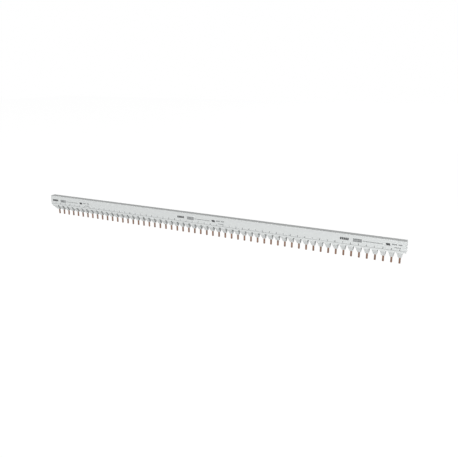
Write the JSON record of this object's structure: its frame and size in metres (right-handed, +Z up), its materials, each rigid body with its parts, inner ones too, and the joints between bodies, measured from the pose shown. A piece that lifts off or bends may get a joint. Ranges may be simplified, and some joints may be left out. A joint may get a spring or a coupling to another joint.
{
  "type": "pin busbar",
  "caption": "Straight insulated pin busbar: a light grey housing with a row of tapered tongues and flat copper pins that plug into a row of circuit breakers.",
  "frame": {"origin": "middle of the bar's length, in the middle plane of the housing's depth, at the level of the pin tips", "axes": "+X along the bar, +Z up from the pin tips to the housing's flat top, +Y away from the printed front face"},
  "size_m": [1.01, 0.0162, 0.0551],
  "materials": {
    "insulation": "light grey extruded plastic, satin",
    "tongue_insulation": "light grey moulded plastic, satin",
    "cap_insulation": "light grey moulded plastic, fine grain",
    "copper": "bare rolled copper, dulled"
  },
  "bodies": {
    "root": {"housing": "insulation", "tongue_strip": "tongue_insulation", "copper_comb_1": "copper", "copper_comb_2": "copper", "copper_comb_3": "copper", "copper_comb_4": "copper", "end_cap_left": "cap_insulation", "end_cap_right": "cap_insulation"}
  },
  "joints": []
}
